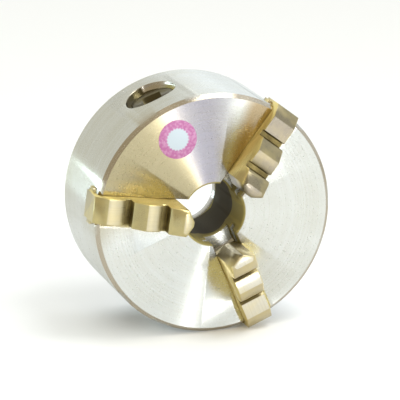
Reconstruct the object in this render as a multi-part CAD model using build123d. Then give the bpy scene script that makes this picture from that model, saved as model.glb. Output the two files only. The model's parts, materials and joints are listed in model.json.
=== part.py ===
"""Three-jaw self-centring scroll chuck, 125 mm class.

The chuck is laid out along its spindle axis, with the rear mounting face at height 0 and
the front face at BODY_LENGTH, and is then turned so that the spindle axis lies along Y: the
front face looks towards -Y and the rear mounting face stands on the plane Y = 0.
"""
import os
from math import atan, cos, hypot, pi, radians, sin, sqrt, tan

from build123d import *

# ---------------------------------------------------------------- driving dimensions, mm
# Body
CHUCK_DIAMETER = 125.0
BODY_LENGTH = 58.0
FRONT_CHAMFER = 2.0
EDGE_BREAK = 0.4             # small chamfer on the edges of slots, holes and jaws
REAR_CHAMFER = 1.0
BORE_DIAMETER = 32.0
BORE_CHAMFER = 0.6
HUB_RADIUS = 24.0            # outside of the hub that the scroll plate turns on
FIRST_JAW_ANGLE = 52.5       # as the chuck stands, from +X, turning towards +Z
JAW_COUNT = 3

# Rear mounting
REGISTER_DIAMETER = 95.0
REGISTER_DEPTH = 4.0
STUD_CIRCLE = 108.0
STUD_HOLE_DIAMETER = 8.0     # M8
STUD_HOLE_DEPTH = 14.0

# Scroll plate
SCROLL_PITCH = 5.0
SCROLL_RADIUS = 40.0
SCROLL_CLEARANCE = 0.05      # running fit on the hub
SCROLL_GAP = 0.3             # to everything else around the scroll plate
THREAD_CREST = 44.5          # height of the thread's top above the rear face
THREAD_DEPTH = 2.8
RIDGE_WIDTH = 2.2
RIDGE_INNER = 25.4           # radius of the thread's middle where it starts
RIDGE_OUTER = 38.7           # and where it ends
COLLAR_RADIUS = 29.4
COLLAR_REAR = 31.0

# Bevel gearing: every tooth runs towards the point where the axes meet
PINION_HEIGHT = 26.0         # pinion axis above the rear face
PINION_TEETH = 11
SCROLL_TEETH = 44
GEAR_OUTER = 40.0            # radius of the large end of the teeth
GEAR_INNER = 30.0
ADDENDUM = 1.36
DEDENDUM = 1.73
PRESSURE_ANGLE = 25.0
BACKLASH = 0.2               # taken off the thickness of each gear's teeth

# Pinion
PINION_RADIUS = 11.45
PINION_BORE_RADIUS = 11.5
PINION_OUTER_END = 59.3
PINION_CHAMFER = 0.8
PILOT_RADIUS = 4.0
PILOT_INNER_END = 19.6
PILOT_END_GAP = 0.6
KEY_SOCKET = 10.0            # across flats of the square
KEY_SOCKET_DEPTH = 15.0
GROOVE_RADIUS = 8.9
GROOVE_WIDTH = 4.6
GROOVE_MIDDLE = 52.0
COUNTERBORE_RADIUS = 13.5

# Jaws: heights are above the front face, radii as the jaws stand
JAW_WIDTH = 13.8
JAW_OUTER_END = 64.4
NOSE_RADIUS = 18.0
TONGUE_WIDTH = 18.6
TONGUE_TOP = 52.0            # heights in the body from here to TOOTH_TIP
TONGUE_BOTTOM = 46.6
JAW_BASE = 44.7
TOOTH_TIP = 41.9
TOOTH_WIDTH = 12.6
TOOTH_THICKNESS = 2.5
TOOTH_TIP_GAP = 0.4          # between a tooth and the floor of the slot
FIRST_TOOTH_GAP = 0.3        # from the start of the tongue
TONGUE_SETBACK = 5.6         # the tongue starts this far behind the nose
NOSE_SINK = 1.0              # the nose reaches this far below the front face
STEP_RISERS = (46.2, 29.5)   # radii of the two gripping shoulders
FIRST_TREAD = 5.7
STEP_HEIGHT = 8.4
FACET_LENGTH = 6.2           # sloping facet on the inward side of each shoulder
FACET_RISE = 4.8
OUTER_FACET_RISE = 4.2
RELIEF_WIDTH = 3.0           # grinding relief at the foot of each shoulder
RELIEF_DEPTH = 2.2
NOSE_FLAT = 2.4              # across the flat at the tip of the nose
NOSE_HALF_ANGLE = 60.0
NOSE_BEVEL_TURN = 30.0       # the bevels on the nose's flanks turn by this
NOSE_BEVEL_LEAN = 40.0       # and lean by this
NOSE_BEVEL_IN = 1.5          # where each bevel cuts: from the tip,
NOSE_BEVEL_SIDE = 4.4        # from the middle
NOSE_BEVEL_ABOVE = 4.6       # and above the top
NOSE_BEVEL_BLOCK = 12.0      # thickness of the cut itself
SLIDE_CLEARANCE = 0.1

# Back cover and its fasteners
COVER_THICKNESS = 8.0
COVER_RADIUS = 46.9
COVER_REAR = 4.2              # a little below the register's floor
COVER_BORE_RADIUS = 16.6
COVER_BORE_CHAMFER = 1.0
CASTLE_RADIUS = 29.2
CASTLE_TOP = 30.9
CASTLE_NOTCH = 9.0
COVER_SCREW_CIRCLE = 42.9    # radius
COVER_SCREW_COUNT = 6
COVER_SCREW_RADIUS = 2.0     # M4
COVER_SCREW_LENGTH = 12.0
COVER_HEAD_RADIUS = 3.5
COVER_HEAD_HEIGHT = 4.0
COVER_HEX = 3.0
DOWEL_RADIUS = 2.0
DOWEL_LENGTH = 12.0

# Pinion retaining screws
DOG_SCREW_RADIUS = 3.0       # M6
DOG_RADIUS = 2.0
DOG_SCREW_BASE = 1.2
DOG_SCREW_TOP = 12.8
DOG_TIP = 16.8
DOG_SLOT_WIDTH = 1.2
DOG_SLOT_DEPTH = 1.8

# Label
LABEL_RADIUS = 10.0
LABEL_THICKNESS = 0.15
LABEL_CIRCLE = 45.0          # radius
LABEL_ANGLE = 115.4

FIT_GAP = 0.05               # between parts that are fixed to each other
SCREW_GAP = 0.2              # around a cover screw's shank and past a screw's end
HEAD_GAP = 0.15              # around a cover screw's head
SCREW_CHAMFER = 0.4          # on the ends of screws and dowels

# ---------------------------------------------------------------- worked out from those
BODY_RADIUS = CHUCK_DIAMETER / 2
BORE_RADIUS = BORE_DIAMETER / 2
COVER_FRONT = REGISTER_DEPTH + COVER_THICKNESS
HEAD_SEAT = COVER_REAR + COVER_HEAD_HEIGHT
CAVITY_RADIUS = SCROLL_RADIUS + SCROLL_GAP
CAVITY_TOP = THREAD_CREST + SCROLL_GAP
SLOT_FLOOR = TOOTH_TIP - TOOTH_TIP_GAP
JAW_TOP = BODY_LENGTH + FIRST_TREAD + STEP_HEIGHT * len(STEP_RISERS)
THREAD_ROOT = THREAD_CREST - THREAD_DEPTH
SPIRAL_OFFSET = SCROLL_PITCH / (2 * pi)      # radius gained per radian
CONE_TANGENT = PINION_TEETH / SCROLL_TEETH   # pitch cone of the pinion
PITCH_RADIUS = GEAR_OUTER * CONE_TANGENT     # of the pinion, at its large end
JAW_ANGLES = [FIRST_JAW_ANGLE + 360 / JAW_COUNT * i for i in range(JAW_COUNT)]
PINION_ANGLES = [angle + 180 / JAW_COUNT for angle in JAW_ANGLES]
SCREW_ANGLES = [JAW_ANGLES[0] + 30 + 360 / COVER_SCREW_COUNT * i for i in range(COVER_SCREW_COUNT)]

ON_BASE = (Align.CENTER, Align.CENTER, Align.MIN)
ON_SIDE = (Align.MIN, Align.CENTER, Align.MIN)
ON_AXIS = (Align.MIN, Align.CENTER, Align.CENTER)
SPINDLE_ALONG_Y = Rot(90, 0, 0)


# ---------------------------------------------------------------- small helpers
def disc(radius, low, high):
    """A cylinder about the spindle axis between two heights."""
    return Pos(0, 0, low) * Cylinder(radius, high - low, align=ON_BASE)


def ring(inner, outer, low, high):
    """A flat ring about the spindle axis between two heights."""
    return disc(outer, low, high) - disc(inner, low - 1, high + 1)


def upright(radius, low, high, circle, angle):
    """A cylinder parallel to the spindle axis, standing on a circle of the given radius."""
    return Rot(0, 0, angle) * Pos(circle, 0, 0) * disc(radius, low, high)


def radial_rod(radius, start, end):
    """A cylinder along +X at the pinions' height."""
    rod = Cylinder(radius, end - start, rotation=(0, 90, 0), align=ON_BASE)
    return Pos(start, 0, PINION_HEIGHT) * rod


def radial_bar(width, start, end, low, high):
    """A square-edged bar along +X, centred on it."""
    return Pos(start, 0, low) * Box(end - start, width, high - low, align=ON_SIDE)


def end_edges(shape, axis, last=True):
    """The edges of a shape that lie furthest along an axis."""
    return shape.edges().group_by(axis)[-1 if last else 0]


# ---------------------------------------------------------------- body
def jaw_slot():
    """The slot of the jaw that stands along +X, open to the bore, the rim and the front."""
    gap = 2 * SLIDE_CLEARANCE
    outside = BODY_RADIUS + 5
    neck = radial_bar(JAW_WIDTH + gap, 0, outside, SLOT_FLOOR, BODY_LENGTH + 1)
    low, high = TONGUE_BOTTOM - SLIDE_CLEARANCE, TONGUE_TOP + SLIDE_CLEARANCE
    return neck + radial_bar(TONGUE_WIDTH + gap, 0, outside, low, high)


def pinion_hole():
    """Everything that is bored for the pinion along +X: pilot, bearing and counterbore."""
    pilot = radial_rod(PILOT_RADIUS + FIT_GAP, PILOT_INNER_END - PILOT_END_GAP, HUB_RADIUS + 1)
    bearing = radial_rod(PINION_BORE_RADIUS, SCROLL_RADIUS - 2, BODY_RADIUS + 1)
    counterbore = radial_rod(COUNTERBORE_RADIUS, PINION_OUTER_END, BODY_RADIUS + 1)
    return pilot + bearing + counterbore


def chuck_body():
    """The casting, with its slots, cavity, register and every hole."""
    body = disc(BODY_RADIUS, 0, BODY_LENGTH)
    body = chamfer(end_edges(body, Axis.Z), FRONT_CHAMFER)
    body = chamfer(end_edges(body, Axis.Z, last=False), REAR_CHAMFER)
    body -= ring(HUB_RADIUS, CAVITY_RADIUS, COVER_FRONT - 1, CAVITY_TOP)
    body -= disc(REGISTER_DIAMETER / 2, -1, REGISTER_DEPTH)
    body -= disc(COVER_RADIUS + FIT_GAP, 0, COVER_FRONT)
    body -= disc(BORE_RADIUS, -1, BODY_LENGTH + 1)
    mouth = Cone(BORE_RADIUS, BORE_RADIUS + 2 * BORE_CHAMFER, 2 * BORE_CHAMFER)
    body -= Pos(0, 0, BODY_LENGTH) * mouth
    for angle in JAW_ANGLES:
        body -= Rot(0, 0, angle) * jaw_slot()
        body -= upright(STUD_HOLE_DIAMETER / 2, -1, STUD_HOLE_DEPTH, STUD_CIRCLE / 2, angle)
    for angle in PINION_ANGLES:
        body -= Rot(0, 0, angle) * pinion_hole()
        screw_hole = DOG_SCREW_RADIUS + FIT_GAP
        body -= upright(screw_hole, -1, DOG_SCREW_TOP + SCREW_GAP, GROOVE_MIDDLE, angle)
        body -= upright(DOG_RADIUS + FIT_GAP, 0, DOG_TIP, GROOVE_MIDDLE, angle)
    for angle in SCREW_ANGLES:
        depth = HEAD_SEAT + COVER_SCREW_LENGTH + 2
        body -= upright(COVER_SCREW_RADIUS + FIT_GAP, 0, depth, COVER_SCREW_CIRCLE, angle)
    for angle in JAW_ANGLES[:2]:
        depth = COVER_REAR + DOWEL_LENGTH + 0.5
        body -= upright(DOWEL_RADIUS + FIT_GAP, 0, depth, COVER_SCREW_CIRCLE, angle)
    slot_edges = end_edges(body, Axis.Z).filter_by(GeomType.LINE)
    body = chamfer(slot_edges, EDGE_BREAK)
    return chamfer(body.edges().filter_by(is_counterbore_rim), EDGE_BREAK)


def is_counterbore_rim(edge):
    """Whether an edge is where a pinion counterbore meets the outside of the body."""
    points = [edge @ t for t in (0, 0.25, 0.5, 0.75, 1)]
    on_outside = all(abs(hypot(point.X, point.Y) - BODY_RADIUS) < 0.001 for point in points)
    reach = COUNTERBORE_RADIUS + 1
    return on_outside and all(abs(point.Z - PINION_HEIGHT) < reach for point in points)


# ---------------------------------------------------------------- scroll plate
def spiral_point(radius, angle):
    """A point at a polar place, angle in radians."""
    return (radius * cos(angle), radius * sin(angle))


def scroll_thread():
    """The spiral ridge: its radius grows by one pitch in each turn."""
    start = RIDGE_INNER / SPIRAL_OFFSET
    end = RIDGE_OUTER / SPIRAL_OFFSET
    steps = 60
    angles = [start + (end - start) * i / steps for i in range(steps + 1)]
    half = RIDGE_WIDTH / 2
    inner = Spline([spiral_point(SPIRAL_OFFSET * a - half, a) for a in angles])
    outer = Spline([spiral_point(SPIRAL_OFFSET * a + half, a) for a in angles])
    ends = [Line(inner @ k, outer @ k) for k in (0, 1)]
    flat = make_face([inner, outer, *ends])
    return Pos(0, 0, THREAD_ROOT - 0.2) * extrude(flat, THREAD_DEPTH + 0.2)


def gear_section(points, radius):
    """A tooth outline at a given distance from where the axes meet.

    The points are (sideways, height) pairs measured at the teeth's large end, with the
    height from the pinion axis; they shrink in proportion towards the meeting point.
    """
    scale = radius / GEAR_OUTER
    corners = [(radius, side * scale, PINION_HEIGHT + height * scale) for side, height in points]
    return make_face(Polyline(*corners, close=True))


def scroll_tooth_space():
    """The gap between two bevel teeth of the scroll plate, along +X."""
    half_pitch = pi * GEAR_OUTER / SCROLL_TEETH
    lean = tan(radians(PRESSURE_ANGLE))
    half_gap = (half_pitch + BACKLASH) / 2
    low, high = PITCH_RADIUS - ADDENDUM - 1, PITCH_RADIUS + DEDENDUM
    outline = [
        (-half_gap - (ADDENDUM + 1) * lean, low),
        (half_gap + (ADDENDUM + 1) * lean, low),
        (half_gap - DEDENDUM * lean, high),
        (-half_gap + DEDENDUM * lean, high),
    ]
    ends = [gear_section(outline, radius) for radius in (GEAR_OUTER + 1, GEAR_INNER - 1.5)]
    return loft(ends, ruled=True)


def scroll_plate():
    """The scroll plate: spiral thread in front, bevel teeth behind, collar on the hub."""
    bore = HUB_RADIUS + SCROLL_CLEARANCE
    tip = (PITCH_RADIUS - ADDENDUM) / GEAR_OUTER
    profile = Polyline(
        (bore, 0, COLLAR_REAR),
        (COLLAR_RADIUS, 0, COLLAR_REAR),
        (COLLAR_RADIUS, 0, PINION_HEIGHT + tip * COLLAR_RADIUS),
        (SCROLL_RADIUS, 0, PINION_HEIGHT + tip * SCROLL_RADIUS),
        (SCROLL_RADIUS, 0, THREAD_ROOT),
        (bore, 0, THREAD_ROOT),
        close=True,
    )
    plate = revolve(make_face(profile), Axis.Z)
    space = scroll_tooth_space()
    spaces = [Rot(0, 0, 360 / SCROLL_TEETH * i) * space for i in range(SCROLL_TEETH)]
    plate -= spaces
    return plate + scroll_thread()


# ---------------------------------------------------------------- pinions
def pinion_tooth():
    """One bevel tooth of the pinion, pointing up, with involute flanks."""
    base_radius = PITCH_RADIUS * cos(radians(PRESSURE_ANGLE))
    thickness = pi * PITCH_RADIUS / PINION_TEETH - BACKLASH

    def involute(radius):
        turn = sqrt(max(radius**2 / base_radius**2 - 1, 0))
        return turn - atan(turn)

    def flank_point(radius):
        half = thickness / (2 * PITCH_RADIUS) + involute(PITCH_RADIUS) - involute(radius)
        return (radius * sin(half), radius * cos(half))

    tip = PITCH_RADIUS + ADDENDUM
    steps = 4
    radii = [base_radius + (tip - base_radius) * i / steps for i in range(steps + 1)]
    root = PITCH_RADIUS - DEDENDUM - 1
    foot = flank_point(base_radius)
    right = [(foot[0] * root / base_radius, root)] + [flank_point(radius) for radius in radii]
    left = [(-side, height) for side, height in reversed(right)]
    ends = [gear_section(right + left, radius) for radius in (GEAR_OUTER, GEAR_INNER)]
    return loft(ends, ruled=True)


def pinion(phase):
    """A pinion along +X, turned about its own axis by a phase in degrees."""
    root = (PITCH_RADIUS - DEDENDUM) / GEAR_OUTER
    shaft = Polyline(
        (PILOT_INNER_END, 0),
        (PILOT_INNER_END, PILOT_RADIUS),
        (GEAR_INNER - 1, PILOT_RADIUS),
        (GEAR_INNER, root * GEAR_INNER),
        (GEAR_OUTER, root * GEAR_OUTER),
        (GEAR_OUTER + 1.2, PINION_RADIUS - 0.6),
        (GEAR_OUTER + 1.8, PINION_RADIUS),
        (GROOVE_MIDDLE - GROOVE_WIDTH / 2, PINION_RADIUS),
        (GROOVE_MIDDLE - GROOVE_WIDTH / 2, GROOVE_RADIUS),
        (GROOVE_MIDDLE + GROOVE_WIDTH / 2, GROOVE_RADIUS),
        (GROOVE_MIDDLE + GROOVE_WIDTH / 2, PINION_RADIUS),
        (PINION_OUTER_END - PINION_CHAMFER, PINION_RADIUS),
        (PINION_OUTER_END, PINION_RADIUS - PINION_CHAMFER),
        (PINION_OUTER_END, 0),
        close=True,
    )
    body = Pos(0, 0, PINION_HEIGHT) * revolve(make_face(shaft), Axis.X)
    centre = Pos(0, 0, PINION_HEIGHT)
    tooth = centre.inverse() * pinion_tooth()
    teeth = [Rot(360 / PINION_TEETH * i, 0, 0) * tooth for i in range(PINION_TEETH)]
    body = body + [centre * one for one in teeth]
    socket = Box(KEY_SOCKET_DEPTH + 1, KEY_SOCKET, KEY_SOCKET, align=ON_AXIS)
    body -= Pos(PINION_OUTER_END - KEY_SOCKET_DEPTH, 0, PINION_HEIGHT) * socket
    return centre * Rot(phase, 0, 0) * centre.inverse() * body


# ---------------------------------------------------------------- jaws
def jaw_profile():
    """The stepped outline of a jaw in the XZ plane, from the rim inwards and round the base."""
    front = BODY_LENGTH
    rim_step = JAW_OUTER_END - FACET_LENGTH
    points = [
        (JAW_OUTER_END, JAW_BASE),
        (JAW_OUTER_END, front + FIRST_TREAD - OUTER_FACET_RISE),
        (rim_step, front + FIRST_TREAD),
    ]
    for i, riser in enumerate(STEP_RISERS):
        tread = front + FIRST_TREAD + STEP_HEIGHT * i
        points += [
            (riser + RELIEF_WIDTH, tread),
            (riser + RELIEF_WIDTH, tread - RELIEF_DEPTH),
            (riser, tread - RELIEF_DEPTH),
            (riser, tread + STEP_HEIGHT - FACET_RISE),
            (riser - FACET_LENGTH, tread + STEP_HEIGHT),
        ]
    points += [(NOSE_RADIUS - 1, JAW_TOP), (NOSE_RADIUS - 1, JAW_BASE)]
    return make_face(Polyline(*[(x, 0, z) for x, z in points], close=True))


def nose_wedge():
    """What is kept of a jaw's inner end: a 120 degree wedge with a small flat at its tip."""
    half = NOSE_FLAT / 2
    far = 2 * JAW_OUTER_END
    wide = half + (far - NOSE_RADIUS) * tan(radians(NOSE_HALF_ANGLE))
    tip = Polyline((NOSE_RADIUS, -half), (far, -wide), (far, wide), (NOSE_RADIUS, half), close=True)
    return extrude(make_face(tip), JAW_TOP + 1)


def nose_bevel():
    """Material taken off the top of the nose on both flanks, as two sloping cuts."""
    cut = Box(2 * JAW_WIDTH, NOSE_BEVEL_BLOCK, NOSE_BEVEL_BLOCK)
    sides = []
    for side in (1, -1):
        turned = Rot(0, 0, -side * NOSE_BEVEL_TURN) * Pos(0, side * NOSE_BEVEL_BLOCK / 2, 0)
        place = Pos(NOSE_RADIUS + NOSE_BEVEL_IN, side * NOSE_BEVEL_SIDE, JAW_TOP + NOSE_BEVEL_ABOVE)
        sides.append(place * turned * Rot(-side * NOSE_BEVEL_LEAN, 0, 0) * cut)
    return sides


def jaw_tooth(middle):
    """A scroll tooth across the jaw along +X: a crescent that clears the thread at every radius."""
    depth = JAW_BASE - TOOTH_TIP + 0.2
    half = TOOTH_THICKNESS / 2
    convex_radius, concave_radius = RIDGE_INNER, RIDGE_OUTER
    outer = Pos(middle + half - convex_radius, SPIRAL_OFFSET, TOOTH_TIP)
    inner = Pos(middle - half - concave_radius, SPIRAL_OFFSET, TOOTH_TIP)
    band = radial_bar(TOOTH_WIDTH, middle - 4, middle + 4, TOOTH_TIP, TOOTH_TIP + depth)
    tooth = band & (outer * Cylinder(convex_radius, depth, align=ON_BASE))
    return tooth - inner * Cylinder(concave_radius, depth, align=ON_BASE)


def jaw(angle):
    """The jaw that stands at an angle, made along +X and not yet turned there.

    The teeth sit in the grooves of the spiral as it crosses that angle, so each jaw's teeth
    are a third of a pitch from the next jaw's.
    """
    tongue_start = NOSE_RADIUS + TONGUE_SETBACK
    solid = extrude(jaw_profile(), JAW_WIDTH / 2, both=True) & nose_wedge()
    solid -= nose_bevel()
    nose_base = BODY_LENGTH - NOSE_SINK
    solid -= radial_bar(JAW_WIDTH + 1, 0, tongue_start, JAW_BASE - 1, nose_base)
    solid += radial_bar(TONGUE_WIDTH, tongue_start, JAW_OUTER_END - 1, TONGUE_BOTTOM, TONGUE_TOP)
    sharp = solid.edges().filter_by(GeomType.LINE)
    sharp = sharp.filter_by(lambda edge: edge.bounding_box().min.Z > nose_base + 0.1)
    solid = chamfer(sharp, EDGE_BREAK)
    crossing = SPIRAL_OFFSET * radians(angle) + SCROLL_PITCH / 2
    first = tongue_start + TOOTH_THICKNESS / 2 + FIRST_TOOTH_GAP
    middle = crossing % SCROLL_PITCH
    while middle < JAW_OUTER_END - TOOTH_THICKNESS:
        if middle > first:
            solid += jaw_tooth(middle)
        middle += SCROLL_PITCH
    return solid


# ---------------------------------------------------------------- back cover and fasteners
def back_cover():
    """The rear plate, whose castle keeps the scroll plate up and clears the pinion pilots."""
    cover = ring(COVER_BORE_RADIUS, COVER_RADIUS, COVER_REAR, COVER_FRONT)
    cover += ring(HUB_RADIUS + SCROLL_GAP, CASTLE_RADIUS, COVER_FRONT - 0.5, CASTLE_TOP)
    notch_floor = PINION_HEIGHT - CASTLE_NOTCH / 2
    for angle in PINION_ANGLES:
        notch = radial_bar(CASTLE_NOTCH, HUB_RADIUS - 1, CASTLE_RADIUS + 1, notch_floor, CASTLE_TOP + 1)
        cover -= Rot(0, 0, angle) * notch
    for angle in SCREW_ANGLES:
        hole = COVER_SCREW_RADIUS + SCREW_GAP
        cover -= upright(hole, 0, COVER_FRONT + 1, COVER_SCREW_CIRCLE, angle)
        cover -= upright(COVER_HEAD_RADIUS + HEAD_GAP, 0, HEAD_SEAT, COVER_SCREW_CIRCLE, angle)
    for angle in JAW_ANGLES[:2]:
        cover -= upright(DOWEL_RADIUS + FIT_GAP, 0, COVER_FRONT + 1, COVER_SCREW_CIRCLE, angle)
    rear_edges = cover.edges().filter_by(GeomType.CIRCLE).group_by(Axis.Z)[0]
    bore_edge = rear_edges.filter_by(lambda edge: abs(edge.radius - COVER_BORE_RADIUS) < 0.01)
    return chamfer(bore_edge, COVER_BORE_CHAMFER)


def cover_screw():
    """A socket cap screw along the spindle axis, its head flush with the cover."""
    head = disc(COVER_HEAD_RADIUS, COVER_REAR, HEAD_SEAT)
    head = chamfer(end_edges(head, Axis.Z, last=False), SCREW_CHAMFER)
    shank = disc(COVER_SCREW_RADIUS, HEAD_SEAT, HEAD_SEAT + COVER_SCREW_LENGTH)
    shank = chamfer(end_edges(shank, Axis.Z), SCREW_CHAMFER)
    hexagon = RegularPolygon(COVER_HEX / 2, 6, major_radius=False)
    socket = Pos(0, 0, COVER_REAR - 0.5) * extrude(hexagon, COVER_HEX * 0.75 + 0.5)
    return head + shank - socket


def cover_dowel():
    """A dowel pin with small end chamfers."""
    pin = disc(DOWEL_RADIUS, COVER_REAR, COVER_REAR + DOWEL_LENGTH)
    return chamfer(pin.edges().filter_by(GeomType.CIRCLE), SCREW_CHAMFER)


def pinion_screw():
    """A slotted dog-point screw whose tip stands in the pinion's groove."""
    screw = disc(DOG_SCREW_RADIUS, DOG_SCREW_BASE, DOG_SCREW_TOP)
    screw = chamfer(screw.edges().filter_by(GeomType.CIRCLE), SCREW_CHAMFER)
    screw += disc(DOG_RADIUS, DOG_SCREW_TOP - 0.5, DOG_TIP)
    slot = Box(4 * DOG_SCREW_RADIUS, DOG_SLOT_WIDTH, 2 * DOG_SLOT_DEPTH)
    return screw - Pos(0, 0, DOG_SCREW_BASE) * slot


def inspection_label():
    """A thin round label stuck on the front face."""
    place = Rot(0, 0, LABEL_ANGLE) * Pos(LABEL_CIRCLE, 0, 0)
    return place * disc(LABEL_RADIUS, BODY_LENGTH, BODY_LENGTH + LABEL_THICKNESS)


# ---------------------------------------------------------------- assembly
def pinion_phase(angle):
    """How far a pinion is turned so that a tooth stands in the scroll plate's tooth space.

    The scroll plate has a space at angle 0. Seen from the rim, the pinion turns by the gear
    ratio for every degree between its own angle and the nearest space.
    """
    tooth_pitch = 360 / SCROLL_TEETH
    offset = (angle + tooth_pitch / 2) % tooth_pitch - tooth_pitch / 2
    return offset * SCROLL_TEETH / PINION_TEETH


def save(name, shape):
    """Turn one finished sub-part into the part's frame and write it."""
    export_step(SPINDLE_ALONG_Y * shape, f"parts/{name}.step")


def main():
    """Make every sub-part and write it under parts/."""
    os.makedirs("parts", exist_ok=True)
    save("chuck_body", chuck_body())
    save("scroll_plate", scroll_plate())
    save("back_cover", back_cover())
    save("inspection_label", inspection_label())
    for i in range(JAW_COUNT):
        angle = JAW_ANGLES[i]
        save(f"jaw_{i + 1}", Rot(0, 0, angle) * jaw(angle))
        angle = PINION_ANGLES[i]
        save(f"pinion_{i + 1}", Rot(0, 0, angle) * pinion(pinion_phase(angle)))
        place = Rot(0, 0, angle) * Pos(GROOVE_MIDDLE, 0, 0)
        save(f"pinion_screw_{i + 1}", place * pinion_screw())
    for i, angle in enumerate(SCREW_ANGLES):
        place = Rot(0, 0, angle) * Pos(COVER_SCREW_CIRCLE, 0, 0)
        save(f"cover_screw_{i + 1}", place * cover_screw())
    for i, angle in enumerate(JAW_ANGLES[:2]):
        place = Rot(0, 0, angle) * Pos(COVER_SCREW_CIRCLE, 0, 0)
        save(f"cover_dowel_{i + 1}", place * cover_dowel())


main()
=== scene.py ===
"""Looks of a three-jaw scroll chuck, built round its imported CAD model.

The chuck's spindle axis lies along Y, its front face looks towards -Y, and +Z is up. Every
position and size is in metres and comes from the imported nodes' boxes.
"""
import json
import logging
import math
from dataclasses import dataclass
from enum import Enum

import bmesh
import bpy
from mathutils import Matrix, Vector

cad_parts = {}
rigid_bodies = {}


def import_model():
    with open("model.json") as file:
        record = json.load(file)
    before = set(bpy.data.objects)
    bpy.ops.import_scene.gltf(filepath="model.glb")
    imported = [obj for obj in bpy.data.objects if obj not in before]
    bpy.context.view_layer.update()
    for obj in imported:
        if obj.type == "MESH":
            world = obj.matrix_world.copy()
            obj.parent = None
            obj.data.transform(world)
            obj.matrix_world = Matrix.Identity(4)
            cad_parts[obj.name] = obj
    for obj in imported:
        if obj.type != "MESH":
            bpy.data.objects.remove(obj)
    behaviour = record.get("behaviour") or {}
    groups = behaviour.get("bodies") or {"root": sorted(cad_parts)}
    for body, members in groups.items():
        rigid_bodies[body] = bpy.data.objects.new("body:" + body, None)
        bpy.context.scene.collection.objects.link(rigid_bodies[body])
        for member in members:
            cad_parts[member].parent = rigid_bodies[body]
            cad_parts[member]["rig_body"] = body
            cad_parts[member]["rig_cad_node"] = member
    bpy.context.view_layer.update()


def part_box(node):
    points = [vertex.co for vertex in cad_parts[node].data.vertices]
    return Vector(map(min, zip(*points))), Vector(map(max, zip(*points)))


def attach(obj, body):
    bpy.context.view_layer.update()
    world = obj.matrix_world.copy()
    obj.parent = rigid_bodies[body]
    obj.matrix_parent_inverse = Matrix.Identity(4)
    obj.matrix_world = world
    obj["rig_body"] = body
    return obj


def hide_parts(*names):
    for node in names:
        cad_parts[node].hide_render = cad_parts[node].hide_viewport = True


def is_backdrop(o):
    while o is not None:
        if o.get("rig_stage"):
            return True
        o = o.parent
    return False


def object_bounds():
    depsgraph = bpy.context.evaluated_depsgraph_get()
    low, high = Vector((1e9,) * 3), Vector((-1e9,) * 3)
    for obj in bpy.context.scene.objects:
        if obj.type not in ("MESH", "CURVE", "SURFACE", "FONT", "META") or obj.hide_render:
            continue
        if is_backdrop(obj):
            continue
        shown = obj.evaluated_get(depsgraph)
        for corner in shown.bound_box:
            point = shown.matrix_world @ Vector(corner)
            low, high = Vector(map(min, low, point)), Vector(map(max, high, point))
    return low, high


log = logging.getLogger("chuck")

Colour = tuple[float, float, float]
Triple = tuple[float, float, float]

FRONT = (0.0, -1.0, 0.0)
JAW_COUNT = 3
SMOOTH_ANGLE = math.radians(28)
SAME_POINT = 0.000002
SMALLEST_EDGE = 0.000001

# How squarely a surface looks to the front: each pair is where a fade starts and is full
SLOPING = (0.3, 0.6)
LEVEL = (0.8, 0.95)
TREAD_LEVEL = (0.93, 0.98)
RIM_TO_FACE = (0.3, 0.9)


class Quantity(Enum):
    """What a vector stands for, which sets how it turns with its piece."""

    DIRECTION = "VECTOR"
    NORMAL = "NORMAL"


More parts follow.
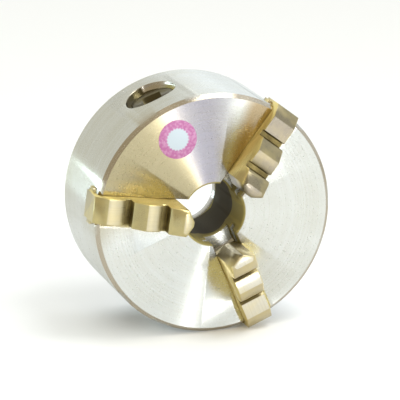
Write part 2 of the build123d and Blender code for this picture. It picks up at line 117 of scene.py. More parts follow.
# ------------------------------------------------------------------ node helpers
class NodeBuilder:
    """Adds and links shader nodes in one new material.

    Args:
        name: The material's name.
    """

    def __init__(self, name: str) -> None:
        """Makes the material and keeps its shader."""
        self.material = bpy.data.materials.new(name)
        self.material.use_nodes = True
        self.tree = self.material.node_tree
        self.shader = self.tree.nodes["Principled BSDF"]

    def add(self, kind: str, **settings: object) -> bpy.types.Node:
        """Adds a node.

        Args:
            kind: The node's type.
            settings: Properties to set on it, by name.

        Returns:
            The new node.
        """
        node = self.tree.nodes.new(kind)
        for key, value in settings.items():
            setattr(node, key, value)
        return node

    def feed(self, target: bpy.types.NodeSocket, value: object) -> None:
        """Gives an input a link or a plain value.

        Args:
            target: The input socket.
            value: An output socket, or a value for the input itself.
        """
        if isinstance(value, bpy.types.NodeSocket):
            self.tree.links.new(value, target)
        else:
            target.default_value = value

    def place(self) -> bpy.types.NodeSocket:
        """Object coordinates, which are metres in the part's own frame."""
        return self.add("ShaderNodeTexCoord").outputs["Object"]

    def normal(self) -> bpy.types.NodeSocket:
        """The surface's normal in the piece's own frame, so it turns with the piece."""
        return self.add("ShaderNodeTexCoord").outputs["Normal"]

    def to_world(self, direction: object, quantity: Quantity) -> bpy.types.NodeSocket:
        """Turns a direction from the piece's own frame into the world's.

        Args:
            direction: The direction in the piece's frame.
            quantity: What it stands for.

        Returns:
            The direction in the world.
        """
        node = self.add("ShaderNodeVectorTransform", vector_type=quantity.value,
                        convert_from="OBJECT", convert_to="WORLD")
        self.feed(node.inputs[0], direction)
        return node.outputs[0]

    def math(self, operation: str, *values: object) -> bpy.types.NodeSocket:
        """A Math node.

        Args:
            operation: The node's operation.
            values: Its inputs, in order.

        Returns:
            The result.
        """
        node = self.add("ShaderNodeMath", operation=operation)
        for slot, value in zip(node.inputs, values):
            self.feed(slot, value)
        return node.outputs[0]

    def vector(self, operation: str, *values: object) -> bpy.types.NodeSocket:
        """A Vector Math node.

        Args:
            operation: The node's operation.
            values: Its vector inputs, in order.

        Returns:
            The result, a number for lengths and dot products.
        """
        node = self.add("ShaderNodeVectorMath", operation=operation)
        for slot, value in zip(node.inputs, values):
            self.feed(slot, value)
        return node.outputs["Value" if operation in ("LENGTH", "DOT_PRODUCT") else "Vector"]

    def scaled(self, direction: object, factor: float) -> bpy.types.NodeSocket:
        """A vector times a number.

        Args:
            direction: The vector.
            factor: The number.

        Returns:
            The longer or shorter vector.
        """
        node = self.add("ShaderNodeVectorMath", operation="SCALE")
        self.feed(node.inputs[0], direction)
        node.inputs["Scale"].default_value = factor
        return node.outputs["Vector"]

    def noise(self, where: object, scale: float, detail: float = 3.0) -> bpy.types.NodeSocket:
        """A noise pattern.

        Args:
            where: The coordinates that it is read at.
            scale: How many of its features fit in a metre.
            detail: How many finer layers it has.

        Returns:
            The pattern's value, from about 0 to 1.
        """
        node = self.add("ShaderNodeTexNoise")
        self.feed(node.inputs["Vector"], where)
        node.inputs["Scale"].default_value = scale
        node.inputs["Detail"].default_value = detail
        return node.outputs["Fac"]

    def remap(self, value: object, low: float, high: float, to_low: float = 0.0,
              to_high: float = 1.0) -> bpy.types.NodeSocket:
        """A value mapped from one range to another, with its ends clamped.

        Args:
            value: The value.
            low: Where its range starts.
            high: Where its range ends.
            to_low: What low becomes.
            to_high: What high becomes.

        Returns:
            The mapped value.
        """
        node = self.add("ShaderNodeMapRange")
        for slot, item in zip(node.inputs, (value, low, high, to_low, to_high)):
            self.feed(slot, item)
        return node.outputs["Result"]

    def mix(self, factor: object, first: object, second: object) -> bpy.types.NodeSocket:
        """A colour mixed from two others.

        Args:
            factor: 0 for the first colour and 1 for the second.
            first: A colour or an output socket.
            second: A colour or an output socket.

        Returns:
            The mixed colour.
        """
        node = self.add("ShaderNodeMix", data_type="RGBA")
        colours = [item for item in node.inputs if item.type == "RGBA"]
        self.feed(node.inputs["Factor"], factor)
        for slot, item in zip(colours, (first, second)):
            self.feed(slot, (*item, 1.0) if isinstance(item, tuple) else item)
        return next(item for item in node.outputs if item.type == "RGBA")

    def base(self, colour: object) -> None:
        """Feeds the shader's colour."""
        self.feed(self.shader.inputs["Base Color"], colour)

    def rough(self, roughness: object) -> None:
        """Feeds the shader's roughness."""
        self.feed(self.shader.inputs["Roughness"], roughness)

    def metal(self, anisotropy: float = 0.0, share: object = 1.0) -> None:
        """Makes the shader a metal, or partly one, whose highlights may stretch."""
        self.feed(self.shader.inputs["Metallic"], share)
        self.shader.inputs["Anisotropic"].default_value = anisotropy

    def stretch(self, groove: object) -> None:
        """Stretches the highlights square to the tool marks.

        Args:
            groove: The direction that the marks run in, in the piece's frame.
        """
        across = self.vector("NORMALIZE", self.vector("CROSS_PRODUCT", self.normal(), groove))
        self.feed(self.shader.inputs["Tangent"], self.to_world(across, Quantity.DIRECTION))

    def bump(self, height: object, distance: float, normal: object = None) -> None:
        """Feeds the shader's normal from a height pattern.

        Args:
            height: The pattern, from 0 to 1.
            distance: Its depth in metres.
            normal: The normal that it is laid on, or the surface's own.
        """
        node = self.add("ShaderNodeBump")
        node.inputs["Distance"].default_value = distance
        self.feed(node.inputs["Height"], height)
        if normal is not None:
            self.feed(node.inputs["Normal"], normal)
        self.feed(self.shader.inputs["Normal"], node.outputs["Normal"])


# ------------------------------------------------------------------ finishes
@dataclass(frozen=True)
class PaintedReflection:
    """A painted reflection: a tint on one side of a turned piece, strongest towards a direction.

    It stands in for a zone of reflected colour that the lamps don't give, and it stays where it is
    as the view moves. It starts where the cosine of the angle from its direction passes one value and
    is full at another, and on the piece's rim it has only a part of its strength.
    """

    colour: Colour
    side: Triple
    starts: float
    full: float
    ragged: float = 0.05
    on_rim: float = 0.3

    def cover(self, nodes: NodeBuilder, outward: object, cloud: object,
              facing: object) -> bpy.types.NodeSocket:
        """How much of the steel's colour the painted reflection takes.

        Args:
            nodes: The material's builder.
            outward: The direction out from the axis.
            cloud: The pattern that makes the painted reflection's edge uneven.
            facing: How squarely the surface looks to the front.

        Returns:
            The painted reflection's share, from 0 to 1.
        """
        side = nodes.vector("DOT_PRODUCT", outward, self.side)
        spread = nodes.math("ADD", side, nodes.remap(cloud, 0.3, 0.7, -self.ragged, self.ragged))
        faced = nodes.remap(facing, *RIM_TO_FACE, self.on_rim, 1.0)
        return nodes.math("MULTIPLY", nodes.remap(spread, self.starts, self.full), faced)


# Painted reflections: a broad khaki zone towards the upper left, and narrow mauve and peach zones near the
# top.
KHAKI_PAINTED_REFLECTION = PaintedReflection((0.42, 0.37, 0.24), (-0.743, 0.0, 0.669), 0.55, 0.92, on_rim=0.55)
MAUVE_PAINTED_REFLECTION = PaintedReflection((0.37, 0.36, 0.42), (-0.14, 0.0, 0.99), 0.93, 0.995, ragged=0.01, on_rim=0.0)
PEACH_PAINTED_REFLECTION = PaintedReflection((0.45, 0.35, 0.22), (0.47, 0.0, 0.883), 0.975, 0.997, ragged=0.004, on_rim=0.0)


@dataclass(frozen=True)
class PinionHoles:
    """A dark colour, in place of shade, in the holes bored inwards from a turned piece's rim."""

    directions: tuple[Triple, ...]
    height: float = 0.026                # of the holes' axes from the rear face
    radius: float = 0.0137
    rim_radius: float = 0.0621           # the dark ends here, just inside the rim
    side_edge: float = 0.0002            # how softly it ends across a hole
    rim_edge: float = 0.0003             # and at the rim
    colour: Colour = (0.08, 0.065, 0.03)

    def cover(self, nodes: NodeBuilder, hole: Triple, offset: object,
              reach: object) -> bpy.types.NodeSocket:
        """Where the steel lies in one hole.

        Args:
            nodes: The material's builder.
            hole: The hole's direction.
            offset: The place from the axis' centre.
            reach: The place's distance from the axis.

        Returns:
            1 inside the hole and 0 elsewhere.
        """
        from_axis = nodes.vector("SUBTRACT", offset, (0.0, -self.height, 0.0))
        gap = nodes.vector("LENGTH", nodes.vector("CROSS_PRODUCT", from_axis, hole))
        near = nodes.remap(gap, self.radius, self.radius + self.side_edge, 1.0, 0.0)
        deep = nodes.remap(reach, self.rim_radius, self.rim_radius + self.rim_edge, 1.0, 0.0)
        return nodes.math("MULTIPLY", near, deep)


@dataclass(frozen=True)
class OilyHollowsPaintedShade:
    """Dull, oily steel inside the bore and in the jaw slots, darkened in place of shade."""

    bore_radius: float = 0.0166          # just outside the bore's mouth
    slot_radius: float = 0.0605          # just inside the rim
    slots_from: float = 0.010            # heights from the rear face
    slots_full: float = 0.012
    soft_edge: float = 0.0006
    metal: float = 0.2
    added_roughness: float = 0.28

    def cover(self, nodes: NodeBuilder, offset: object, reach: object,
              facing: object) -> bpy.types.NodeSocket:
        """Where the steel lies in a hollow.

        Args:
            nodes: The material's builder.
            offset: The place from the axis' centre.
            reach: The place's distance from the axis.
            facing: How squarely the surface looks to the front.

        Returns:
            1 in the bore and on the slots' walls, and 0 elsewhere.
        """
        inside = nodes.remap(reach, self.bore_radius, self.bore_radius + self.soft_edge, 1.0, 0.0)
        upright = nodes.remap(nodes.math("ABSOLUTE", facing), *SLOPING, 1.0, 0.0)
        covered = nodes.remap(reach, self.slot_radius, self.slot_radius + self.soft_edge, 1.0, 0.0)
        height = nodes.vector("DOT_PRODUCT", offset, FRONT)
        ahead = nodes.remap(height, self.slots_from, self.slots_full)
        slots = nodes.math("MULTIPLY", nodes.math("MULTIPLY", upright, covered), ahead)
        return nodes.math("MAXIMUM", inside, slots)


@dataclass(frozen=True)
class MachinedSteel:
    """Bare turned steel, whose tool marks run in rings round an axis and stretch its highlights.

    A faced surface may be dished a little, painted reflections may tint the sides that face given
    directions, sloping faces such as chamfers may take painted shade, and hollows and holes may be
    darkened as painted shade.
    """

    name: str
    colour: Colour
    stain: Colour
    axis: Triple = (0.0, 1.0, 0.0)
    centre: Triple = (0.0, 0.0, 0.0)
    roughness: float = 0.25
    anisotropy: float = 1.0
    dish: float = 0.0
    # The tool marks' darker tone, and the painted shade in the hollows.
    dark: Colour = (0.34, 0.28, 0.085)
    painted_reflections: tuple[PaintedReflection, ...] = ()
    # Painted shade on the sloping faces, such as the chamfers.
    edge: Colour | None = None
    hollows: OilyHollowsPaintedShade | None = None
    holes: PinionHoles | None = None
    clouds_per_metre: float = 42.0
    specks_per_metre: float = 1300.0
    marks_per_metre: float = 2600.0
    mark_depth: float = 0.000002

    def material(self) -> bpy.types.Material:
        """Builds the material.

        Returns:
            A material that reads Object coordinates and the piece's own normal.
        """
        nodes = NodeBuilder(self.name)
        offset = nodes.vector("SUBTRACT", nodes.place(), self.centre)
        groove = nodes.vector("CROSS_PRODUCT", self.axis, offset)
        outward = nodes.vector("NORMALIZE", nodes.vector("CROSS_PRODUCT", groove, self.axis))
        reach = nodes.vector("LENGTH", groove)
        facing = nodes.vector("DOT_PRODUCT", nodes.normal(), FRONT)
        nodes.stretch(groove)
        marks = nodes.noise(self.track(nodes, offset, reach), self.marks_per_metre)
        cloud = nodes.noise(nodes.place(), self.clouds_per_metre, 4.0)
        speck = nodes.noise(nodes.place(), self.specks_per_metre, 2.0)
        shade = nodes.mix(nodes.remap(cloud, 0.35, 0.7), self.colour, self.stain)
        # Painted reflections: each one tints the sides that face its direction.
        for painted_reflection in self.painted_reflections:
            shade = nodes.mix(painted_reflection.cover(nodes, outward, cloud, facing), shade, painted_reflection.colour)
        shade = nodes.mix(nodes.remap(marks, 0.35, 0.65, 0.0, 0.14), shade, self.dark)
        # Painted shade: the sloping faces, such as the chamfers, take the edge colour.
        if self.edge:
            level = nodes.remap(facing, *LEVEL)
            sloping = nodes.math("SUBTRACT", nodes.remap(facing, *SLOPING), level)
            shade = nodes.mix(sloping, shade, self.edge)
        worn = nodes.remap(speck, 0.5, 0.75, 0.0, 0.04)
        rough = nodes.math("ADD", nodes.remap(marks, 0.3, 0.7, -0.02, 0.02), worn)
        share = 1.0
        # Painted shade: the bore and the jaw slots take the dark colour, and they are also duller.
        if self.hollows:
            hidden = self.hollows.cover(nodes, offset, reach, facing)
            shade = nodes.mix(hidden, shade, self.dark)
            share = nodes.remap(hidden, 0.0, 1.0, 1.0, self.hollows.metal)
            dull = nodes.math("MULTIPLY", hidden, self.hollows.added_roughness)
            rough = nodes.math("ADD", rough, dull)
        # Painted shade: the walls of the pinions' holes take the holes' dark colour.
        if self.holes:
            for hole in self.holes.directions:
                inside = self.holes.cover(nodes, hole, offset, reach)
                shade = nodes.mix(inside, shade, self.holes.colour)
        nodes.base(shade)
        nodes.rough(nodes.math("ADD", rough, self.roughness))
        nodes.metal(self.anisotropy, share)
        dished = nodes.vector("SUBTRACT", nodes.normal(), nodes.scaled(outward, self.dish))
        dished = nodes.vector("NORMALIZE", nodes.to_world(dished, Quantity.NORMAL))
        nodes.bump(marks, self.mark_depth, dished)
        return nodes.material

    def track(self, nodes: NodeBuilder, offset: object, reach: object) -> bpy.types.NodeSocket:
        """Coordinates that change across the tool marks and not along them.

        Args:
            nodes: The material's builder.
            offset: The place from the axis' centre.
            reach: The place's distance from the axis.

        Returns:
            The coordinates for the marks' pattern.
        """
        track = nodes.add("ShaderNodeCombineXYZ")
        nodes.feed(track.inputs["X"], nodes.vector("DOT_PRODUCT", offset, self.axis))
        nodes.feed(track.inputs["Y"], reach)
        return track.outputs[0]


@dataclass(frozen=True)
class GroundJawSteel:
    """Hardened jaw steel: bright ground treads, straw-coloured facets and flanks, dark reliefs.

    The facets' darker tone is painted shade, the flanks' brighter one is painted light, and the dark
    risers and relief grooves are painted shade.
    """

    name: str
    outward: Triple
    reliefs: tuple[float, ...]
    relief_width: float = 0.0030
    tread: Colour = (0.52, 0.47, 0.33)
    # Painted shade: the sloping facets' darker tone.
    facet: Colour = (0.35, 0.29, 0.13)
    # Painted light: the flanks' brighter tone, which also tints the random mottling.
    flank: Colour = (0.74, 0.60, 0.23)
    # Painted shade on the risers and in the relief grooves, and the grain's darker tone.
    painted_shade_and_grain: Colour = (0.12, 0.09, 0.03)
    outer_end: float = 0.060             # a shoulder beyond this is the jaw's end, not a riser
    end_fade: float = 0.001
    relief_edge: float = 0.0003
    grains_per_metre: float = 3800.0
    clouds_per_metre: float = 130.0
    grain_depth: float = 0.000002
    anisotropy: float = 0.2
    metal: float = 0.8

    def material(self) -> bpy.types.Material:
        """Builds the material.

        Returns:
            A material for one jaw, as its colours follow the jaw's own direction.
        """
        nodes = NodeBuilder(self.name)
        facing = nodes.vector("DOT_PRODUCT", nodes.normal(), FRONT)
        leaning = nodes.vector("DOT_PRODUCT", nodes.normal(), self.outward)
        flat = nodes.vector("DOT_PRODUCT", nodes.normal(), self.crosswise())
        reach = nodes.vector("DOT_PRODUCT", nodes.place(), self.outward)
        grain = nodes.noise(nodes.vector("CROSS_PRODUCT", self.outward, nodes.place()),
                            self.grains_per_metre)
        cloud = nodes.noise(nodes.place(), self.clouds_per_metre, 4.0)
        # Painted shade and light: treads, facets and flanks take their own tones by which way they face.
        shade = nodes.mix(nodes.remap(facing, *TREAD_LEVEL), self.facet, self.tread)
        shade = nodes.mix(nodes.remap(nodes.math("ABSOLUTE", flat), 0.6, 0.9), shade, self.flank)
        # Painted shade: the risers and the relief grooves take the dark colour.
        inner = nodes.remap(reach, self.outer_end - self.end_fade, self.outer_end, 1.0, 0.0)
        riser = nodes.math("MULTIPLY", nodes.remap(leaning, 0.8, 0.95), inner)
        top = nodes.remap(nodes.math("ABSOLUTE", flat), 0.3, 0.7, 1.0, 0.0)
        half = self.relief_width / 2
        for foot in self.reliefs:
            gap = nodes.math("ABSOLUTE", nodes.math("SUBTRACT", reach, foot + half))
            band = nodes.remap(gap, half - self.relief_edge, half, 1.0, 0.0)
            riser = nodes.math("MAXIMUM", riser, nodes.math("MULTIPLY", band, top))
        shade = nodes.mix(riser, shade, self.painted_shade_and_grain)
        shade = nodes.mix(nodes.remap(cloud, 0.4, 0.75, 0.0, 0.3), shade, self.flank)
        nodes.base(nodes.mix(nodes.remap(grain, 0.4, 0.7, 0.0, 0.12), shade, self.painted_shade_and_grain))
        worn = nodes.remap(cloud, 0.4, 0.8, 0.0, 0.05)
        nodes.rough(nodes.math("ADD", nodes.remap(grain, 0.3, 0.7, 0.26, 0.32), worn))
        nodes.metal(self.anisotropy, self.metal)
        nodes.stretch(self.outward)
        nodes.bump(grain, self.grain_depth)
        return nodes.material

    def crosswise(self) -> Triple:
        """The direction across the jaw's flanks."""
        return tuple(Vector(self.outward).cross(Vector(FRONT)))


@dataclass(frozen=True)
class BlackOxide:
    """The dark chemical finish of screws, with brighter worn spots."""

    name: str = "black_oxide"
    colour: Colour = (0.035, 0.033, 0.03)
    worn: Colour = (0.22, 0.2, 0.17)
    grains_per_metre: float = 1400.0
    grain_depth: float = 0.00001

    def material(self) -> bpy.types.Material:
        """Builds the material.

        Returns:
            A material that reads Object coordinates.
        """
        nodes = NodeBuilder(self.name)
        grain = nodes.noise(nodes.place(), self.grains_per_metre, 4.0)
        nodes.base(nodes.mix(nodes.remap(grain, 0.55, 0.75), self.colour, self.worn))
        nodes.rough(nodes.remap(grain, 0.3, 0.7, 0.34, 0.5))
        nodes.metal()
        nodes.bump(grain, self.grain_depth)
        return nodes.material


@dataclass(frozen=True)
class PrintedPaper:
    """A round label: a coloured ring with a wavy inner edge round a pale centre."""

    name: str
    centre: Triple
    radius: float
    ring: Colour = (0.42, 0.12, 0.30)
    faded: Colour = (0.52, 0.25, 0.43)
    pale: Colour = (0.50, 0.58, 0.64)
    waves: float = 22.0
    wave_height: float = 0.025           # this and the next two are shares of the radius
    pale_to: float = 0.53
    ring_from: float = 0.60
    fibres_per_metre: float = 5200.0
    clouds_per_metre: float = 700.0
    fibre_depth: float = 0.00001

    def material(self) -> bpy.types.Material:
        """Builds the material.

        Returns:
            A material that reads Object coordinates.
        """
        nodes = NodeBuilder(self.name)
        offset = nodes.vector("SUBTRACT", nodes.place(), self.centre)
        parts = nodes.add("ShaderNodeSeparateXYZ")
        nodes.feed(parts.inputs[0], offset)
        turn = nodes.math("ARCTAN2", parts.outputs["Z"], parts.outputs["X"])
        wave = nodes.math("SINE", nodes.math("MULTIPLY", turn, self.waves))
        shift = nodes.math("MULTIPLY", wave, self.wave_height * self.radius)
        reach = nodes.math("ADD", nodes.vector("LENGTH", offset), shift)
        inside = nodes.remap(reach, self.pale_to * self.radius, self.ring_from * self.radius, 1.0, 0.0)
        fibre = nodes.noise(nodes.place(), self.fibres_per_metre, 5.0)
        cloud = nodes.noise(nodes.place(), self.clouds_per_metre)
        ink = nodes.mix(nodes.remap(cloud, 0.4, 0.65), self.ring, self.faded)
        nodes.base(nodes.mix(inside, ink, self.pale))
        nodes.rough(nodes.remap(fibre, 0.3, 0.7, 0.45, 0.6))
        nodes.bump(fibre, self.fibre_depth)
        return nodes.material


# ------------------------------------------------------------------ mesh helpers
def frame_nodes() -> dict[str, bpy.types.Object]:
    """The CAD nodes' objects by name."""
    return {o["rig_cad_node"]: o for o in bpy.context.scene.objects if "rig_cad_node" in o}


def direction_of(node: str) -> Vector:
    """The direction from the spindle axis out to a node's middle, square to the axis.

    Args:
        node: The CAD node's name.

    Returns:
        The unit direction.
    """
    low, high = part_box(node)
    middle = (low + high) / 2
    return Vector((middle.x, 0.0, middle.z)).normalized()


def add_piece(name: str, shape: bmesh.types.BMesh, body: str,
              material: bpy.types.Material) -> bpy.types.Object:
    """Makes a finished piece from a bmesh.

    Args:
        name: The piece's name.
        shape: Its mesh, which is freed.
        body: The body that it rides on.
        material: Its finish.

    Returns:
        The new object.
    """
    mesh = bpy.data.meshes.new(name)
    shape.to_mesh(mesh)
    shape.free()
    mesh.materials.append(material)
    mesh.shade_smooth()
    mesh.set_sharp_from_angle(angle=SMOOTH_ANGLE)
    piece = bpy.data.objects.new(name, mesh)
    bpy.context.scene.collection.objects.link(piece)
    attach(piece, body)
    return piece


def smooth_copy(node: str, name: str, material: bpy.types.Material) -> bpy.types.Object:
    """Makes a merged, smooth-shaded piece in place of a CAD node.

    Args:
        node: The CAD node's name.
        name: The new piece's name.
        material: Its finish.

    Returns:
        The new object, which replaces the node and rides on the node's body.
    """
    source = frame_nodes()[node]
    shape = bmesh.new()
    shape.from_mesh(source.data)
    bmesh.ops.remove_doubles(shape, verts=shape.verts, dist=SAME_POINT)
    bmesh.ops.dissolve_degenerate(shape, edges=shape.edges, dist=SMALLEST_EDGE)
    piece = add_piece(name, shape, source["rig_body"], material)
    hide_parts(node)
    return piece


def dress_node(node: bpy.types.Object, material: bpy.types.Material) -> None:
    """Gives a carried-over CAD node a finish, through its object's material slots.

    Args:
        node: The CAD node's object.
        material: The finish.
    """
    if not node.material_slots:
        node.data.materials.append(material)
    for slot in node.material_slots:
        slot.link = "OBJECT"
        slot.material = material


# ------------------------------------------------------------------ sub-assemblies
@dataclass
class Casting:
    """The chuck's body, with the cut threads of its three mounting holes."""

    colour: Colour = (0.66, 0.68, 0.67)
    stain: Colour = (0.61, 0.62, 0.59)
    # Painted shade: the darker colour of the sloping faces, such as the chamfers.
    edge: Colour = (0.42, 0.37, 0.29)
    thread_colour: Colour = (0.55, 0.52, 0.45)
    thread_stain: Colour = (0.4, 0.37, 0.3)
    dish: float = 0.09
    stud_circle_radius: float = 0.054
    thread_outer: float = 0.004
    thread_inner: float = 0.0034
    thread_pitch: float = 0.00125
    thread_start: float = 0.0012
    thread_length: float = 0.0118
    thread_sink: float = 0.00003         # how far the ridge's foot stands in the wall
    ridge_share: float = 0.84            # of the pitch, at the ridge's foot
    steps_per_turn: int = 20

    def build(self) -> list[bpy.types.Object]:
        """Makes and dresses the body and its threads.

        Returns:
            The new pieces.
        """
        holes = PinionHoles(tuple(tuple(direction_of(f"pinion_{i + 1}")) for i in range(JAW_COUNT)))
        # The body's steel takes painted reflections, and painted shade on its chamfers, in its hollows and
        # in its pinion holes.
        steel = MachinedSteel("turned_steel", self.colour, self.stain, dish=self.dish, edge=self.edge,
                              painted_reflections=(KHAKI_PAINTED_REFLECTION, MAUVE_PAINTED_REFLECTION, PEACH_PAINTED_REFLECTION),
                              hollows=OilyHollowsPaintedShade(), holes=holes).material()
        cut = MachinedSteel("cut_thread_steel", self.thread_colour, self.thread_stain,
                            roughness=0.34).material()
        made = [smooth_copy("chuck_body", "body_casting", steel)]
        for i in range(JAW_COUNT):
            centre = direction_of(f"jaw_{i + 1}") * self.stud_circle_radius
            made.append(add_piece(f"stud_thread_{i + 1}", self.thread(centre), "chuck", cut))
        return made

    def thread(self, centre: Vector) -> bmesh.types.BMesh:
        """A helical ridge that stands in from the wall of a hole.

        Args:
            centre: The hole's centre on the rear face.

        Returns:
            The ridge's mesh, closed at both ends.
        """
        shape = bmesh.new()
        half = self.thread_pitch * self.ridge_share / 2
        outer, inner = self.thread_outer + self.thread_sink, self.thread_inner
        start = -self.thread_start
        crest = ((inner, start - half * 0.75), (inner, start - half * 1.25))
        corners = ((outer, start), *crest, (outer, start - 2 * half))
        made = [shape.verts.new(centre + Vector((radius, along, 0.0))) for radius, along in corners]
        face = shape.faces.new(made)
        turns = (self.thread_length - 2 * half) / self.thread_pitch
        steps = round(turns * self.steps_per_turn)
        bmesh.ops.spin(shape, geom=[face, *face.edges, *face.verts], cent=centre, axis=(0.0, 1.0, 0.0),
                       dvec=(0.0, -self.thread_pitch / self.steps_per_turn, 0.0),
                       angle=steps * math.tau / self.steps_per_turn, steps=steps)
        bmesh.ops.remove_doubles(shape, verts=shape.verts, dist=SMALLEST_EDGE)
        bmesh.ops.contextual_create(shape, geom=[e for e in shape.edges if e.is_boundary])
        bmesh.ops.recalc_face_normals(shape, faces=shape.faces)
        return shape


@dataclass
class JawSet:
    """The three stepped jaws.

    Their steel is one and the same. The tints of each jaw's treads and facets stand in for
    uneven light round the chuck.
    """

    reliefs: tuple[float, ...] = (0.0462, 0.0295)
    treads: tuple[Colour, ...] = ((0.33, 0.29, 0.23), (0.52, 0.47, 0.33), (0.66, 0.63, 0.54))
    facets: tuple[Colour, ...] = ((0.20, 0.17, 0.11), (0.42, 0.36, 0.18), (0.50, 0.43, 0.27))

    def build(self) -> list[bpy.types.Object]:
        """Makes and dresses the jaws.

        Returns:
            The new pieces.
        """
        made = []
        for i, (tread, facet) in enumerate(zip(self.treads, self.facets), start=1):
            steel = GroundJawSteel(f"ground_jaw_steel_{i}", tuple(direction_of(f"jaw_{i}")), self.reliefs,
                                   tread=tread, facet=facet)
            made.append(smooth_copy(f"jaw_{i}", f"stepped_jaw_{i}", steel.material()))
        return made


@dataclass
class ScrollDrive:
    """The scroll plate and the pinions that turn it."""

    scroll_colour: Colour = (0.5, 0.48, 0.44)
    scroll_stain: Colour = (0.42, 0.4, 0.36)
    # Painted shade: the pinions' dark colour, as they sit deep in their holes.
    pinion_colour: Colour = (0.12, 0.10, 0.055)
    pinion_stain: Colour = (0.10, 0.08, 0.04)
    pinion_roughness: float = 0.36
    pinion_anisotropy: float = 0.7

    def build(self) -> list[bpy.types.Object]:
        """Makes and dresses the scroll plate and the pinions.

        Returns:
            The new pieces.
        """
        steel = MachinedSteel("scroll_plate_steel", self.scroll_colour, self.scroll_stain).material()
        made = [smooth_copy("scroll_plate", "scroll_disc", steel)]
        for i in range(1, JAW_COUNT + 1):
            low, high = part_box(f"pinion_{i}")
            finish = MachinedSteel(f"pinion_steel_{i}", self.pinion_colour, self.pinion_stain,
                                   axis=tuple(direction_of(f"pinion_{i}")), centre=tuple((low + high) / 2),
                                   roughness=self.pinion_roughness, anisotropy=self.pinion_anisotropy)
            made.append(smooth_copy(f"pinion_{i}", f"bevel_pinion_{i}", finish.material()))
        return made


@dataclass
class RearClosure:
    """The back cover with its screws and dowels."""

    colour: Colour = (0.58, 0.56, 0.52)
    stain: Colour = (0.52, 0.5, 0.46)

    def build(self) -> list[bpy.types.Object]:
        """Makes and dresses the cover, and dresses the fasteners' CAD nodes.

        Returns:
            The new pieces.
        """
        steel = MachinedSteel("cover_plate_steel", self.colour, self.stain).material()
        oxide = BlackOxide().material()
        for name, node in frame_nodes().items():
            if "screw" in name:
                dress_node(node, oxide)
            elif "dowel" in name:
                dress_node(node, steel)
        return [smooth_copy("back_cover", "rear_cover_plate", steel)]


@dataclass
class Label:
    """The round paper label on the front face, with a softened rim."""

    segments: int = 96
    rim: float = 0.00008

    def build(self) -> list[bpy.types.Object]:
        """Makes and dresses the label.

        Returns:
            The new piece.
        """
        low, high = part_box("inspection_label")
        middle = (low + high) / 2
        radius = (high.x - low.x) / 2
        shape = bmesh.new()
        place = Matrix.Translation(middle) @ Matrix.Rotation(math.pi / 2, 4, "X")
        bmesh.ops.create_cone(shape, cap_ends=True, cap_tris=False, segments=self.segments,
                              radius1=radius, radius2=radius, depth=high.y - low.y, matrix=place)
        front = [e for e in shape.edges if all(v.co.y < middle.y for v in e.verts)]
        bmesh.ops.bevel(shape, geom=front, offset=self.rim, segments=2, profile=0.5,
                        affect="EDGES", material=-1)
        bmesh.ops.recalc_face_normals(shape, faces=shape.faces)
        paper = PrintedPaper("printed_label", tuple(middle), radius).material()
        piece = add_piece("round_label", shape, "chuck", paper)
        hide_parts("inspection_label")
        return [piece]


# ------------------------------------------------------------------ studio
@dataclass(frozen=True)
class Lamp:
    """A long soft lamp between two directions, each an azimuth and an elevation in degrees."""

    name: str
    start: tuple[float, float]
    end: tuple[float, float]
    width: float
    power: float
    colour: Colour = (1.0, 1.0, 1.0)
    distance: float = 0.7

    def build(self, target: Vector) -> None:
        """Hangs the lamp so that it faces a point.

        Args:
            target: The point.
        """
        first, last = (target + self.distance * direction(*ends) for ends in (self.start, self.end))
        middle, run = (first + last) / 2, last - first
        back = (middle - target).normalized()
        tall = (run - run.project(back)).normalized()
        lamp = bpy.data.lights.new(self.name, "AREA")
        lamp.energy, lamp.color, lamp.shape = self.power, self.colour, "RECTANGLE"
        lamp.size, lamp.size_y = self.width, run.length
        holder = bpy.data.objects.new(self.name, lamp)
        turn = Matrix((tall.cross(back), tall, back)).transposed().to_4x4()
        holder.matrix_world = Matrix.Translation(middle) @ turn
        bpy.context.scene.collection.objects.link(holder)


def direction(azimuth: float, elevation: float) -> Vector:
    """The direction of an azimuth, from the front and towards +X, and an elevation, in degrees."""
    turn, rise = math.radians(azimuth), math.radians(elevation)
    return Vector((math.sin(turn) * math.cos(rise), -math.cos(turn) * math.cos(rise), math.sin(rise)))


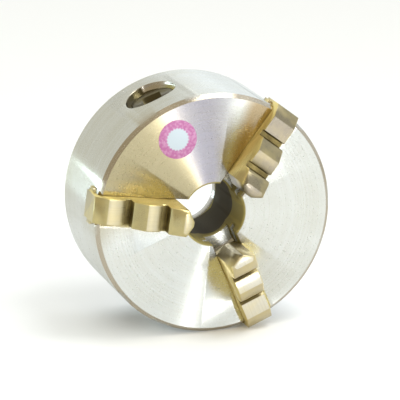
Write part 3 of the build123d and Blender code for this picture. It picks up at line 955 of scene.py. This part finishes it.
@dataclass
class Studio:
    """Floor, lamps, surround and camera."""

    azimuth: float = -18.34              # of the camera, in degrees
    elevation: float = 15.85
    distance: float = 1.4227
    lens: float = 252.8
    aim_right: float = 0.00719
    aim_down: float = 0.00716
    clip: tuple[float, float] = (0.1, 50.0)
    floor_size: float = 6.0
    floor_gap: float = 0.0002
    floor_colour: Colour = (0.93, 0.93, 0.93)
    floor_roughness: float = 0.9
    dim_from: tuple[float, float] = (-50.0, 40.0)    # middle of the surround's dim side
    dim_edge: float = 0.30               # cosines from it where the dim side starts and is full
    dim_core: float = 0.92
    dim_colour: Colour = (0.68, 0.60, 0.43)
    pale_colour: Colour = (1.16, 1.22, 1.25)
    lamps: tuple[Lamp, ...] = (
        Lamp("main_streak_lamp", (22.8, 3.7), (36.0, 30.0), 0.015, 0.5),
        Lamp("thin_streak_lamp", (12.0, -4.0), (0.0, 22.0), 0.006, 1.0),
        Lamp("left_lamp", (-108.0, -8.0), (-112.0, 12.0), 0.3, 1.8, (0.65, 0.85, 1.0)),
        Lamp("top_lamp", (30.0, 62.0), (70.0, 70.0), 0.3, 1.8, (0.95, 0.98, 1.0)),
    )

    def build(self) -> None:
        """Sets up the floor, the light and the camera."""
        self.build_floor()
        self.build_surround()
        low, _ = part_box("chuck_body")
        face = Vector((0.0, low.y, 0.0))
        for lamp in self.lamps:
            lamp.build(face)
        self.build_camera(face)
        bpy.context.scene.view_settings.view_transform = "Standard"

    def build_floor(self) -> None:
        """A pale floor under the chuck."""
        low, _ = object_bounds()
        shape = bmesh.new()
        bmesh.ops.create_grid(shape, x_segments=1, y_segments=1, size=self.floor_size)
        bmesh.ops.translate(shape, verts=shape.verts, vec=(0.0, 0.0, low.z - self.floor_gap))
        mesh = bpy.data.meshes.new("floor")
        shape.to_mesh(mesh)
        shape.free()
        nodes = NodeBuilder("pale_floor")
        nodes.base((*self.floor_colour, 1.0))
        nodes.rough(self.floor_roughness)
        mesh.materials.append(nodes.material)
        ground = bpy.data.objects.new("floor", mesh)
        bpy.context.scene.collection.objects.link(ground)
        ground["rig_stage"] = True

    def build_surround(self) -> None:
        """A pale surround, dimmer and warmer on one side, with a white backdrop."""
        world = bpy.data.worlds.new("surround")
        bpy.context.scene.world = world
        world.use_nodes = True
        tree = world.node_tree
        place = tree.nodes.new("ShaderNodeTexCoord")
        toward = tree.nodes.new("ShaderNodeVectorMath")
        toward.operation = "DOT_PRODUCT"
        toward.inputs[1].default_value = direction(*self.dim_from)
        tree.links.new(place.outputs["Generated"], toward.inputs[0])
        fade = tree.nodes.new("ShaderNodeMapRange")
        fade.interpolation_type = "SMOOTHSTEP"
        fade.inputs["From Min"].default_value = self.dim_edge
        fade.inputs["From Max"].default_value = self.dim_core
        tree.links.new(toward.outputs["Value"], fade.inputs["Value"])
        around = self.blend(tree, fade.outputs["Result"], (*self.pale_colour, 1.0), (*self.dim_colour, 1.0))
        seen = tree.nodes.new("ShaderNodeLightPath").outputs["Is Camera Ray"]
        whole = self.blend(tree, seen, around, (1.0, 1.0, 1.0, 1.0))
        tree.links.new(whole, tree.nodes["Background"].inputs["Color"])

    def blend(self, tree: bpy.types.NodeTree, factor: bpy.types.NodeSocket, first: object,
              second: object) -> bpy.types.NodeSocket:
        """A colour mixed in the surround's node tree.

        Args:
            tree: The surround's nodes.
            factor: 0 for the first colour and 1 for the second.
            first: A colour or an output socket.
            second: A colour or an output socket.

        Returns:
            The mixed colour.
        """
        node = tree.nodes.new("ShaderNodeMix")
        node.data_type = "RGBA"
        tree.links.new(factor, node.inputs["Factor"])
        for slot, item in zip([item for item in node.inputs if item.type == "RGBA"], (first, second)):
            if isinstance(item, bpy.types.NodeSocket):
                tree.links.new(item, slot)
            else:
                slot.default_value = item
        return next(item for item in node.outputs if item.type == "RGBA")

    def build_camera(self, face: Vector) -> None:
        """Places the camera.

        Args:
            face: The centre of the chuck's front face.
        """
        back = direction(self.azimuth, self.elevation)
        turn = math.radians(self.azimuth)
        right = Vector((math.cos(turn), math.sin(turn), 0.0))
        up = back.cross(right)
        data = bpy.data.cameras.new("camera")
        data.lens = self.lens
        data.clip_start, data.clip_end = self.clip
        camera = bpy.data.objects.new("camera", data)
        camera.location = face + self.distance * back - self.aim_right * right + self.aim_down * up
        camera.rotation_euler = Matrix((right, up, back)).transposed().to_euler()
        bpy.context.scene.collection.objects.link(camera)
        bpy.context.scene.camera = camera


def main() -> None:
    """Builds every sub-assembly round the frame, then the studio."""
    logging.basicConfig(level=logging.INFO, format="%(message)s")
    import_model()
    for assembly in (Casting(), JawSet(), ScrollDrive(), RearClosure(), Label()):
        for piece in assembly.build():
            log.info("%s: %s, %d faces", type(assembly).__name__, piece.name, len(piece.data.polygons))
    Studio().build()


if __name__ == "__main__":
    main()
